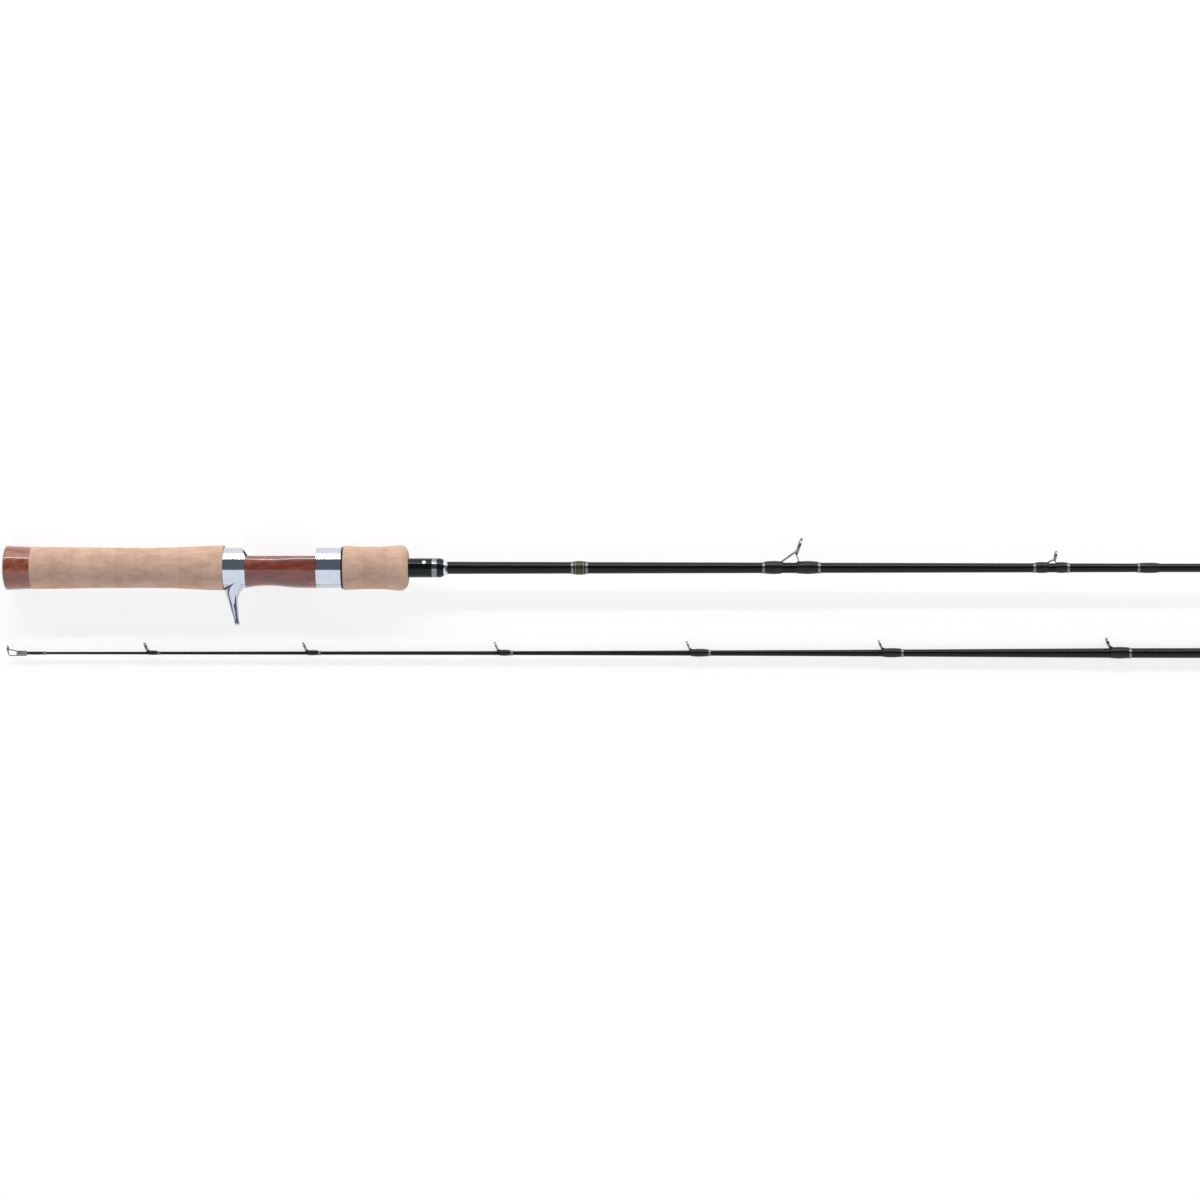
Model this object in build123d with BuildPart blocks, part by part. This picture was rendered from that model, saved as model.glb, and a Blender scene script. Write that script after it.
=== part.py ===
from build123d import *
import os
from math import cos, radians, sin

# A two-piece trigger-grip casting rod, taken down. The butt section and the tip section lie side by
# side on a flat surface, with the tip section turned end for end. +X runs from the butt cap to the
# ferrule, +Y is the side of the reel and the guides, and +Z stands up from the surface.
# Stations are distances along a section: from the butt cap on the butt section, and from the open
# end of the ferrule socket on the tip section. Heights are distances from a section's own axis.

# Layout
closed_length = 741.0
row_spacing = 50.0

# Fits
glue_line = 0.05
running_clearance = 0.08
screw_clearance = 0.1
ferrule_clearance = 0.05

# Butt blank
butt_blank_start = 6.5
butt_blank_setback = 4.5
butt_blank_large_radius = 4.36
blank_wall = 0.7
ferrule_length = 60.0
ferrule_radius = 2.55
ferrule_rim_chamfer = 0.2
butt_blank_end = closed_length - butt_blank_setback
ferrule_start = butt_blank_end - ferrule_length
butt_taper = [(0.0, butt_blank_large_radius), (ferrule_start, ferrule_radius)]

# Tip blank, rolled on a mandrel with four tapers, each a share of the blank's length and base radius
tip_blank_setback = 7.5
tip_blank_length = closed_length - tip_blank_setback
socket_depth = 62.0
socket_wall = 0.45
socket_radius = ferrule_radius + ferrule_clearance
tip_base_radius = socket_radius + socket_wall
tip_bore_end_radius = 0.35
tip_bore_share = 0.71
tip_taper_shares = [(0.0, 1.0), (0.123, 0.944), (0.341, 0.63), (0.6, 0.4), (1.0, 0.236)]
tip_taper = [(tip_blank_length * x, tip_base_radius * r) for x, r in tip_taper_shares]

# Butt cap and rear grip
butt_cap_length = 17.4
butt_cap_rim_radius = 13.0
butt_cap_rim_station = 4.6
butt_cap_neck_radius = 12.35
butt_cap_rounding = 1.2
rear_grip_length = 112.5
rear_grip_ring_count = 9
rear_grip_rear_radius = 12.45
rear_grip_waist_radius = 11.8
rear_grip_front_radius = 13.15

# Reel seat
rear_hood_length = 12.9
seat_opening = 41.0
front_hood_length = 15.1
hood_radius = 11.9
hood_wall = 1.05
hood_web = 1.5
hood_travel = 10.0
hood_edge_break = 0.3
mouth_setback = 2.7
foot_rest_height = 6.95
foot_rest_relief = 0.15
foot_rest_margin = 0.3
seat_waist_depth = 1.4
seat_shoulder_length = 7.0
seat_edge_rounding = 1.0
tenon_end_gap = 1.8
key_width = 3.0
key_height = 1.2
key_length = 5.5
key_setback = 0.8

# Trigger, as sections down its length: height, station of the middle, chord and width
trigger_sections = [
    (-3.0, 140.6, 3.6, 22.4),
    (-7.5, 138.4, 8.4, 18.2),
    (-11.0, 136.6, 11.6, 14.0),
    (-13.6, 135.2, 9.8, 10.6),
    (-17.0, 134.8, 7.0, 7.6),
    (-21.5, 135.4, 5.3, 5.8),
    (-26.5, 136.3, 4.0, 4.6),
    (-30.0, 137.0, 3.3, 3.9),
    (-33.8, 137.6, 2.8, 3.2),
]
trigger_tip_rounding = 1.3

# Threaded barrel and lock nut
arbor_thickness = 0.69
barrel_wall = 0.95
barrel_front_length = 18.9
barrel_nose_length = 1.8
barrel_nose_step = 0.9
barrel_nose_bore_length = 6.0
screw_depth = 0.6
screw_end_setback = 0.5
nut_length = 19.0
nut_wall = 2.65
nut_tail_wall = 1.55
nut_tail_length = 2.9
clip_thickness = 0.7
clip_reach_share = 0.44
clip_groove_depth = 0.6
clip_gap_width = 4.0
washer_thickness = 0.8
washer_lip = 0.5
arbor_length = 14.0
arbor_count = 4
winding_check_length = 2.0
winding_check_land = 0.8
winding_check_lip = 0.15
barrel_band_setback = 3.7
barrel_band_length = 2.9
barrel_band_depth = 0.3
barrel_pin_radius = 1.1
barrel_pin_setback = 9.7
barrel_pin_depth = 0.7
barrel_pin_stand = 0.2
barrel_pin_tilt = 34.0

# Fore grip
fore_grip_length = 38.0
fore_grip_ring_count = 3
fore_grip_waist_radius = 12.45
fore_grip_rear_radius = 13.15
fore_grip_front_radius = 13.42
fore_grip_nose_radius = 9.0
fore_grip_nose_length = 5.0
fore_grip_edge_rounding = 0.7
fore_grip_bore_clearance = 0.35

# Thread wraps under epoxy, and the metallic thread bands that finish them
wrap_lift = 0.2
wrap_edge_share = 0.6
wrap_shoulder_share = 0.2
wrap_bulge = 0.08
band_build_up = 0.3
band_length = 1.4
decor_wrap_share = 0.451
decor_wrap_length = 7.0
decor_wrap_crown = 0.55
collar_wrap_length = 11.2
collar_wrap_crown = 0.42
tip_ferrule_wrap_start = 1.5
tip_ferrule_wrap_length = 18.0
tip_ferrule_wrap_crown = 0.4

# Guides
strap_thickness = 0.55
strap_tip_thickness = 0.15
strap_tip_length = 2.6
strap_bend_radius = 1.2
foot_inset = 0.7
ring_seat_gap = 0.02
ring_foot_gap = 0.15
rim_rounding = 0.2

# The two guides on the butt section stand on a foot at each end. A ring's station is a share of the
# closed length, and its height is that of its middle.
stripper_ring_share = 0.629
stripper_ring_height = 12.5
stripper_ring_radius = 5.4
stripper_lean = 19.0
second_ring_share = 0.8315
second_ring_height = 7.0
second_ring_radius = 3.1
second_lean = 11.0

# The guides on the tip section stand on one foot: where the foot's front is, as a share of the
# closed length, the foot's length, the ring's outer radius and the crown of the wrap
single_guides = [
    (0.1231, 10.8, 3.2, 0.47),
    (0.3039, 10.8, 2.8, 0.55),
    (0.4563, 10.5, 2.8, 0.6),
    (0.6086, 7.0, 2.8, 0.5),
    (0.7606, 6.7, 2.8, 0.45),
    (0.8865, 5.6, 2.8, 0.4),
]
single_lean = 22.0
single_strap_width = 1.5
single_rim = 0.6
single_rim_thickness = 1.0
single_bead_radius = 0.42
single_brace_radius = 0.34
single_brace_turn = 52.0
single_brace_reach = 1.5

# Tip-top
tip_top_tube_length = 6.0
tip_top_tube_wall = 0.25
tip_top_tube_overhang = 0.7
tip_top_wrap_length = 9.8
tip_top_wrap_crown = 0.18
tip_top_ring_radius = 2.0
tip_top_ring_height = 2.5
tip_top_ring_reach = 5.2
tip_top_ring_lean = 4.0
tip_top_rim = 0.45
tip_top_rim_thickness = 0.8
tip_top_bead_radius = 0.32
tip_top_wire_radius = 0.3


def radius_at(taper, station):
    for (start, start_radius), (end, end_radius) in zip(taper, taper[1:]):
        if station <= end:
            return start_radius + (end_radius - start_radius) * (station - start) / (end - start)
    return taper[-1][1]


# Sizes that follow from those above
rear_hood_start = butt_cap_length + rear_grip_length
seat_start = rear_hood_start + rear_hood_length
front_hood_start = seat_start + seat_opening
front_hood_end = front_hood_start + front_hood_length
fore_grip_start = front_hood_end + washer_thickness
fore_grip_end = fore_grip_start + fore_grip_length
barrel_shoulder = fore_grip_end + barrel_front_length
barrel_end = barrel_shoulder + barrel_nose_length
barrel_bore = radius_at(butt_taper, rear_hood_start) + arbor_thickness
barrel_radius = barrel_bore + barrel_wall
hood_bore = hood_radius - hood_wall
tenon_radius = hood_bore - running_clearance
seat_front_end = front_hood_end - hood_web - tenon_end_gap
barrel_nose_radius = barrel_radius - barrel_nose_step
screw_radius = barrel_radius + screw_depth
nut_bore = screw_radius + screw_clearance
nut_radius = nut_bore + nut_wall
nut_tail_radius = nut_bore + nut_tail_wall
clip_radius = nut_tail_radius + (hood_bore - nut_tail_radius) * clip_reach_share
screw_start = seat_front_end + glue_line
screw_end = fore_grip_start + nut_length - screw_end_setback
tip_axis_height = tip_base_radius + tip_ferrule_wrap_crown + wrap_bulge

# The stripper guide reaches furthest to one side and the tip section to the other
layout_reach = stripper_ring_height + stripper_ring_radius * cos(radians(stripper_lean))
butt_axis_y = (row_spacing + tip_axis_height - layout_reach) / 2
butt_side = Plane(
    origin=(-closed_length / 2, butt_axis_y, fore_grip_front_radius),
    x_dir=(1, 0, 0),
    z_dir=(0, 0, 1),
)
tip_side = Plane(
    origin=(closed_length / 2, butt_axis_y - row_spacing, tip_axis_height),
    x_dir=(-1, 0, 0),
    z_dir=(0, 0, -1),
)
butt_axis = Axis(butt_side.origin, butt_side.x_dir)
tip_axis = Axis(tip_side.origin, tip_side.x_dir)

os.makedirs("parts", exist_ok=True)


def save(shape, label):
    shape.label = label
    export_step(shape, f"parts/{label}.step")


def taper_between(taper, start, end):
    breaks = [(x, r) for x, r in taper if start < x < end]
    return [(start, radius_at(taper, start)), *breaks, (end, radius_at(taper, end))]


def grown(outline, amount):
    return [(x, r + amount) for x, r in outline]


def across(side, station, height=0.0):
    """The plane square to a section's axis, with its own x along the guide side."""
    origin = side.from_local_coords((station, height, 0))
    return Plane(origin=origin, x_dir=side.y_dir, z_dir=side.x_dir)


def ring_face(side, station, height, lean):
    """The plane through a guide ring's middle, with x up its face and y along the ring's axis."""
    up = side.x_dir * sin(radians(lean)) + side.y_dir * cos(radians(lean))
    return Plane(origin=side.from_local_coords((station, height, 0)), x_dir=up, z_dir=side.z_dir)


def tube(label, side, inner, outer):
    """A turned piece between an inner and an outer outline."""
    with BuildPart() as turned:
        with BuildSketch(side):
            with BuildLine():
                Polyline(*inner, *reversed(outer), close=True)
            make_face()
        revolve(axis=Axis(side.origin, side.x_dir))
    save(turned.part, label)
    return turned.part


def thread_wrap(side, taper, start, end, crown, foot=None):
    """A whipping of thread, which swells towards the guide side where it covers a foot."""
    lift = wrap_lift if foot else 0
    surface = taper_between(taper, start, end)
    shoulder = (end - start) * wrap_shoulder_share
    crest = radius_at(taper, (start + end) / 2) + crown
    with BuildPart() as wrap:
        with BuildSketch(side):
            with BuildLine():
                hump = Spline(
                    (start, surface[0][1] + lift + crown * wrap_edge_share),
                    (start + shoulder, crest + lift),
                    (end - shoulder, crest + lift),
                    (end, surface[-1][1] + lift + crown * wrap_edge_share),
                )
                Polyline(hump @ 1, (end, lift), (start, lift), hump @ 0)
            make_face()
        revolve(axis=Axis(side.from_local_coords((start, lift, 0)), side.x_dir))
        with BuildSketch(side):
            with BuildLine():
                Polyline((start, 0), *surface, (end, 0), close=True)
            make_face()
        revolve(axis=Axis(side.origin, side.x_dir), mode=Mode.SUBTRACT)
        if foot:
            add(foot, mode=Mode.SUBTRACT)
    return wrap.part


def thread_bands(label, side, taper, starts, length=band_length):
    """Narrow bands of metallic thread, one solid each."""
    bands = []
    for start in starts:
        surface = taper_between(taper, start, start + length)
        with BuildPart() as band:
            with BuildSketch(side):
                with BuildLine():
                    Polyline(*surface, *reversed(grown(surface, band_build_up)), close=True)
                make_face()
            revolve(axis=Axis(side.origin, side.x_dir))
        bands.append(band.part)
    save(Compound(children=bands), label)


def cork_rings(label, half_outline, start, length, count):
    """Turned cork, glued up from rings of equal length."""
    ring_length = length / count
    stock_radius = fore_grip_front_radius + fore_grip_nose_length
    rings = []
    for index in range(count):
        with BuildPart() as ring:
            with BuildSketch(butt_side):
                make_face(half_outline.edges())
                with Locations((start + (index + 0.5) * ring_length, stock_radius / 2)):
                    Rectangle(ring_length, stock_radius, mode=Mode.INTERSECT)
            revolve(axis=butt_axis)
        rings.append(ring.part)
    save(Compound(children=rings), label)


def guide_ring(label, face, centre_radius, bead_radius):
    """A ceramic ring, turned about its own leaning axis."""
    with BuildPart() as ring:
        with BuildSketch(face):
            with Locations((centre_radius, 0)):
                Circle(bead_radius)
        revolve(axis=Axis(face.origin, face.y_dir))
    save(ring.part, label)


def guide_rim(face, outer_radius, rim, thickness):
    """The hoop that holds a ceramic ring, added to the part in hand."""
    with BuildSketch(face) as profile:
        with Locations((outer_radius - rim / 2, 0)):
            RectangleRounded(rim, thickness, rim_rounding)
    revolve(profile.sketch, axis=Axis(face.origin, face.y_dir))


def ring_seat(face, centre_radius, bead_radius, thickness):
    """Clears the hoop's hole and the groove that the ceramic ring sits in."""
    with BuildSketch(face) as profile:
        with Locations((centre_radius / 2, 0)):
            Rectangle(centre_radius, thickness * 3)
        with Locations((centre_radius, 0)):
            Circle(bead_radius + ring_seat_gap)
    revolve(profile.sketch, axis=Axis(face.origin, face.y_dir), mode=Mode.SUBTRACT)


def guide_leg(side, start, end, radius):
    """A round leg between two points given as station, height and sideways distance."""
    with BuildLine(side) as leg:
        Line(start, end)
    with BuildSketch(Plane(origin=leg.line @ 0, z_dir=leg.line % 0)) as section:
        Circle(radius)
    sweep(section.sketch, path=leg.line)


def point_on_rim(station, height, lean, radius, turn):
    """A point on a leaning hoop, at an angle from its lowest point, as a leg's end."""
    drop = radius * cos(radians(turn))
    x = station - drop * sin(radians(lean))
    y = height - drop * cos(radians(lean))
    return (x, y, radius * sin(radians(turn)))


# Rod blanks: tapered carbon tubes

butt_outside = taper_between(butt_taper, butt_blank_start, ferrule_start)
butt_outside.append((butt_blank_end, ferrule_radius))

with BuildPart() as butt_blank:
    with BuildSketch(butt_side):
        with BuildLine():
            Polyline(*butt_outside, *reversed(grown(butt_outside, -blank_wall)), close=True)
        make_face()
    revolve(axis=butt_axis)
    ferrule_mouth = butt_blank.edges().filter_by(GeomType.CIRCLE).group_by(Axis.X)[-1]
    chamfer(ferrule_mouth.sort_by(SortBy.RADIUS)[-1], ferrule_rim_chamfer)
save(butt_blank.part, "butt_blank")

with BuildPart() as tip_blank:
    with BuildSketch(tip_side):
        with BuildLine():
            Polyline(
                *tip_taper,
                (tip_blank_length, 0),
                (tip_blank_length * tip_bore_share, 0),
                (tip_blank_length * tip_bore_share, tip_bore_end_radius),
                (socket_depth + socket_radius, radius_at(tip_taper, socket_depth) - blank_wall),
                (socket_depth, socket_radius),
                (0, socket_radius),
                close=True,
            )
        make_face()
    revolve(axis=tip_axis)
save(tip_blank.part, "tip_blank")

# Butt cap: turned hardwood with a domed end, bored for the blank

with BuildPart() as butt_cap:
    with BuildSketch(butt_side):
        with BuildLine():
            dome = ThreePointArc(
                (0, 0),
                (butt_cap_rim_station * 0.22, butt_cap_rim_radius * 0.65),
                (butt_cap_rim_station * 0.55, butt_cap_rim_radius),
            )
            side_line = Spline(
                (butt_cap_rim_station, butt_cap_rim_radius),
                (butt_cap_length * 0.62, butt_cap_rim_radius * 0.45 + butt_cap_neck_radius * 0.55),
                (butt_cap_length, butt_cap_neck_radius),
            )
            Line(dome @ 1, side_line @ 0)
            Polyline(side_line @ 1, (butt_cap_length, 0), (0, 0))
        make_face()
        fillet(vertices().sort_by_distance(dome @ 1)[0], butt_cap_rounding)
    revolve(axis=butt_axis)
    with BuildSketch(across(butt_side, butt_blank_start - glue_line)):
        Circle(butt_blank_large_radius + glue_line)
    extrude(amount=butt_cap_length, mode=Mode.SUBTRACT)
save(butt_cap.part, "butt_cap")

# Rear grip: cork rings reamed to the blank

rear_grip_bore = grown(taper_between(butt_taper, butt_cap_length, rear_hood_start), glue_line)

with BuildLine() as rear_grip_outline:
    swell = Spline(
        (butt_cap_length, rear_grip_rear_radius),
        (butt_cap_length + rear_grip_length * 0.24, rear_grip_waist_radius + 0.3),
        (butt_cap_length + rear_grip_length * 0.52, rear_grip_waist_radius),
        (butt_cap_length + rear_grip_length * 0.78, rear_grip_waist_radius + 0.4),
        (butt_cap_length + rear_grip_length * 0.93, rear_grip_front_radius - 0.15),
        (rear_hood_start, rear_grip_front_radius),
    )
    Polyline(swell @ 1, *reversed(rear_grip_bore), swell @ 0)

cork_rings(
    "rear_grip",
    rear_grip_outline.line,
    butt_cap_length,
    rear_grip_length,
    rear_grip_ring_count,
)

# Reel seat body: hardwood on the barrel, waisted below and flat where the reel foot rests

seat_rear_end = rear_hood_start + hood_web
shoulder_start = front_hood_start - seat_shoulder_length
slot_height = hood_bore - key_height - running_clearance

with BuildPart() as seat_body:
    with BuildSketch(butt_side):
        with BuildLine():
            waist = Spline(
                (seat_start, hood_radius - 0.1),
                (seat_start + (shoulder_start - seat_start) * 0.4, hood_radius - seat_waist_depth),
                (shoulder_start, hood_radius),
                tangents=((1, -0.22), (1, 0)),
            )
            Polyline(
                waist @ 1,
                (front_hood_start, hood_radius),
                (front_hood_start, tenon_radius),
                (seat_front_end, tenon_radius),
                (seat_front_end, barrel_radius + glue_line),
                (seat_rear_end, barrel_radius + glue_line),
                (seat_rear_end, tenon_radius),
                (seat_start, tenon_radius),
                waist @ 0,
            )
        make_face()
    revolve(axis=butt_axis)
    with BuildSketch(across(butt_side, seat_rear_end)):
        with Locations((foot_rest_height + hood_radius / 2, 0)):
            Rectangle(hood_radius, hood_radius * 2)
    extrude(amount=seat_front_end - seat_rear_end, mode=Mode.SUBTRACT)
    with BuildSketch(across(butt_side, front_hood_start)):
        with Locations((-slot_height - key_height, 0)):
            Rectangle(key_height * 2, key_width + 2 * running_clearance)
    extrude(amount=seat_front_end - front_hood_start, mode=Mode.SUBTRACT)
    foot_rest = seat_body.faces().sort_by(Axis.Y)[-1]
    long_edges = foot_rest.edges().filter_by(GeomType.BSPLINE)
    fillet(long_edges, seat_edge_rounding)
    # The flat lies a little lower under the hoods, so the foot bears on the part between them
    flat_start = seat_start + foot_rest_margin
    flat_end = front_hood_start - foot_rest_margin
    for start, end in ((seat_rear_end, flat_start), (flat_end, seat_front_end)):
        with BuildSketch(across(butt_side, start)):
            with Locations((foot_rest_height - foot_rest_relief + hood_radius / 2, 0)):
                Rectangle(hood_radius, hood_radius * 2)
        extrude(amount=end - start, mode=Mode.SUBTRACT)
save(seat_body.part, "seat_body")

# Rear hood: one casting with the trigger, open at the front for the reel foot

with BuildPart() as rear_hood:
    with BuildSketch(across(butt_side, rear_hood_start)):
        Circle(hood_radius)
    extrude(amount=rear_hood_length)
    for height, station, chord, width in trigger_sections:
        origin = butt_side.from_local_coords((station, height, 0))
        with BuildSketch(Plane(origin=origin, x_dir=butt_side.x_dir, z_dir=-butt_side.y_dir)):
            Ellipse(chord / 2, width / 2)
    loft()
    tip_face = rear_hood.faces().sort_by(Axis((0, 0, 0), butt_side.y_dir))[0]
    fillet(tip_face.edges(), trigger_tip_rounding)
    with BuildSketch(across(butt_side, seat_start)):
        Circle(hood_radius * 1.2)
    extrude(amount=rear_hood_length, mode=Mode.SUBTRACT)
    with BuildSketch(across(butt_side, seat_rear_end)):
        Circle(hood_bore)
    extrude(amount=rear_hood_length, mode=Mode.SUBTRACT)
    with BuildSketch(across(butt_side, rear_hood_start)):
        Circle(barrel_radius + glue_line)
    extrude(amount=hood_web, mode=Mode.SUBTRACT)
    with BuildSketch(butt_side):
        with BuildLine():
            Polyline(
                (seat_start, foot_rest_height),
                (seat_start - mouth_setback, hood_radius),
                (seat_start - mouth_setback, hood_radius * 1.2),
                (seat_start + mouth_setback, hood_radius * 1.2),
                (seat_start + mouth_setback, foot_rest_height),
                close=True,
            )
        make_face()
    extrude(amount=hood_radius * 1.2, both=True, mode=Mode.SUBTRACT)
save(rear_hood.part, "rear_hood")

# Front hood: slides on the seat's tenon, with a key against turning

with BuildPart() as front_hood:
    with BuildSketch(butt_side):
        with BuildLine():
            Polyline(
                (front_hood_start, hood_bore),
                (front_hood_start, hood_radius),
                (front_hood_end, hood_radius),
                (front_hood_end, nut_tail_radius + running_clearance),
                (front_hood_end - hood_web, nut_tail_radius + running_clearance),
                (front_hood_end - hood_web, hood_bore),
                close=True,
            )
        make_face()
        chamfer(vertices().group_by(Axis.Y)[-1], hood_edge_break)
    revolve(axis=butt_axis)
    with BuildSketch(across(butt_side, front_hood_start + key_setback)):
        with Locations((-hood_bore + (key_height - hood_wall / 2) / 2, 0)):
            Rectangle(key_height + hood_wall / 2, key_width)
    extrude(amount=key_length)
save(front_hood.part, "front_hood")

# Threaded barrel under the seat and the fore grip; its plain front end shows

nose_bore = radius_at(butt_taper, barrel_shoulder - barrel_nose_bore_length) + glue_line
band_start = barrel_shoulder - barrel_band_setback - barrel_band_length / 2
band_end = band_start + barrel_band_length
band_bed = barrel_radius - barrel_band_depth
pin_station = barrel_shoulder - barrel_pin_setback
pin_turn = radians(barrel_pin_tilt)
pin_out = butt_side.z_dir * cos(pin_turn) + butt_side.y_dir * sin(pin_turn)
pin_foot = butt_side.from_local_coords((pin_station, 0, 0)) + pin_out * (barrel_radius - barrel_pin_depth)
pin_seat = Plane(origin=pin_foot, x_dir=butt_side.x_dir, z_dir=pin_out)

with BuildPart() as barrel:
    with BuildSketch(butt_side):
        with BuildLine():
            Polyline(
                (rear_hood_start, barrel_bore),
                (rear_hood_start, barrel_radius),
                (screw_start, barrel_radius),
                (screw_start, screw_radius),
                (screw_end, screw_radius),
                (screw_end, barrel_radius),
                (band_start, barrel_radius),
                (band_start, band_bed),
                (band_end, band_bed),
                (band_end, barrel_radius),
                (barrel_shoulder, barrel_radius),
                (barrel_end, barrel_nose_radius),
                (barrel_end, nose_bore),
                (barrel_shoulder - barrel_nose_bore_length, nose_bore),
                (barrel_shoulder - barrel_nose_bore_length, barrel_bore),
                close=True,
            )
        make_face()
    revolve(axis=butt_axis)
    with BuildSketch(pin_seat):
        Circle(barrel_pin_radius)
    extrude(amount=barrel_radius, mode=Mode.SUBTRACT)
save(barrel.part, "barrel")

# Silver band let into the barrel, and the polished pin that holds the barrel to its arbor

tube(
    "barrel_band",
    butt_side,
    [(band_start, band_bed), (band_end, band_bed)],
    [(band_start, barrel_radius), (band_end, barrel_radius)],
)

with BuildPart() as barrel_pin:
    with BuildSketch(pin_seat):
        Circle(barrel_pin_radius)
    extrude(amount=barrel_pin_depth + barrel_pin_stand)
    pin_head = barrel_pin.faces().sort_by(Axis(pin_foot, pin_out))[-1]
    fillet(pin_head.edges(), barrel_pin_stand * 0.9)
save(barrel_pin.part, "barrel_pin")

# Arbors that centre the barrel on the blank

arbor_reach = barrel_shoulder - barrel_nose_bore_length - rear_hood_start
arbor_spacing = (arbor_reach - arbor_length) / (arbor_count - 1)
arbors = []
for index in range(arbor_count):
    start = rear_hood_start + index * arbor_spacing
    inside = grown(taper_between(butt_taper, start, start + arbor_length), glue_line)
    with BuildPart() as arbor:
        with BuildSketch(butt_side):
            with BuildLine():
                Polyline(
                    *inside,
                    (start + arbor_length, barrel_bore - glue_line),
                    (start, barrel_bore - glue_line),
                    close=True,
                )
            make_face()
        revolve(axis=butt_axis)
    arbors.append(arbor.part)
save(Compound(children=arbors), "barrel_arbors")

# Lock nut: driven by the fore grip, it carries the front hood on its tail

tail_end = front_hood_end - nut_tail_length
clip_seat_end = front_hood_end - hood_web - running_clearance
clip_seat_start = clip_seat_end - clip_thickness - running_clearance
groove_radius = nut_tail_radius - clip_groove_depth
nut_front = fore_grip_start + nut_length

lock_nut = tube(
    "lock_nut",
    butt_side,
    [(tail_end, nut_bore), (nut_front, nut_bore)],
    [
        (tail_end, nut_tail_radius),
        (clip_seat_start, nut_tail_radius),
        (clip_seat_start, groove_radius),
        (clip_seat_end, groove_radius),
        (clip_seat_end, nut_tail_radius),
        (fore_grip_start, nut_tail_radius),
        (fore_grip_start, nut_radius),
        (nut_front, nut_radius),
    ],
)

with BuildPart() as hood_clip:
    with BuildSketch(across(butt_side, clip_seat_end - running_clearance / 2 - clip_thickness)):
        Circle(clip_radius)
        Circle(groove_radius + glue_line, mode=Mode.SUBTRACT)
        with Locations((-clip_radius, 0)):
            Rectangle(clip_radius * 2, clip_gap_width, mode=Mode.SUBTRACT)
    extrude(amount=clip_thickness)
save(hood_clip.part, "hood_clip")

with BuildPart() as thrust_washer:
    with BuildSketch(across(butt_side, front_hood_end)):
        Circle(hood_radius + washer_lip)
        Circle(nut_tail_radius + glue_line, mode=Mode.SUBTRACT)
    extrude(amount=washer_thickness)
save(thrust_washer.part, "thrust_washer")

# Fore grip: cork rings glued on the nut, turned by hand to lock the reel

fore_grip_bore = barrel_radius + fore_grip_bore_clearance
nose_start = fore_grip_end - fore_grip_nose_length

with BuildLine() as fore_grip_outline:
    grip_swell = Spline(
        (fore_grip_start + fore_grip_edge_rounding, fore_grip_rear_radius),
        (fore_grip_start + fore_grip_length * 0.25, fore_grip_waist_radius + 0.1),
        (fore_grip_start + fore_grip_length * 0.52, fore_grip_waist_radius + 0.02),
        (fore_grip_start + fore_grip_length * 0.72, fore_grip_waist_radius + 0.42),
        (nose_start, fore_grip_front_radius),
        tangents=((1, -0.1), (1, 0)),
    )
    nose = RadiusArc(
        grip_swell @ 1,
        (fore_grip_end, fore_grip_nose_radius),
        fore_grip_nose_length,
    )
    rear_break = Line(
        (fore_grip_start, fore_grip_rear_radius - fore_grip_edge_rounding),
        grip_swell @ 0,
    )
    Polyline(
        nose @ 1,
        (fore_grip_end, fore_grip_bore),
        (nut_front + glue_line, fore_grip_bore),
        (nut_front + glue_line, nut_radius + glue_line),
        (fore_grip_start, nut_radius + glue_line),
        rear_break @ 0,
    )

cork_rings(
    "fore_grip",
    fore_grip_outline.line,
    fore_grip_start,
    fore_grip_length,
    fore_grip_ring_count,
)

# Winding check: a bright collar that closes the barrel's nose on the blank

check_end = barrel_end + winding_check_length
check_bore = grown(taper_between(butt_taper, barrel_end, check_end), glue_line)

tube(
    "winding_check",
    butt_side,
    check_bore,
    [
        (barrel_end, barrel_nose_radius),
        (barrel_end + winding_check_land, barrel_nose_radius),
        (check_end, check_bore[-1][1] + winding_check_lip),
    ],
)

# Decorative wrap and the collar wrap behind the ferrule

decor_wrap_start = closed_length * decor_wrap_share
decor_wrap_end = decor_wrap_start + decor_wrap_length
decor_wrap = thread_wrap(butt_side, butt_taper, decor_wrap_start, decor_wrap_end, decor_wrap_crown)
save(decor_wrap, "decor_wrap")
thread_bands("decor_bands", butt_side, butt_taper, [decor_wrap_start - band_length, decor_wrap_end])

collar_start = ferrule_start - collar_wrap_length
collar = thread_wrap(butt_side, butt_taper, collar_start, ferrule_start, collar_wrap_crown)
save(collar, "ferrule_collar")
thread_bands("ferrule_collar_band", butt_side, butt_taper, [collar_start - band_length])

socket_wrap_end = tip_ferrule_wrap_start + tip_ferrule_wrap_length
socket_wrap = thread_wrap(
    tip_side,
    tip_taper,
    tip_ferrule_wrap_start,
    socket_wrap_end,
    tip_ferrule_wrap_crown,
)
save(socket_wrap, "socket_wrap")
thread_bands("socket_wrap_band", tip_side, tip_taper, [socket_wrap_end])

# Guides on the butt section: a ring held by one bent strap in front and two legs behind


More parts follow.
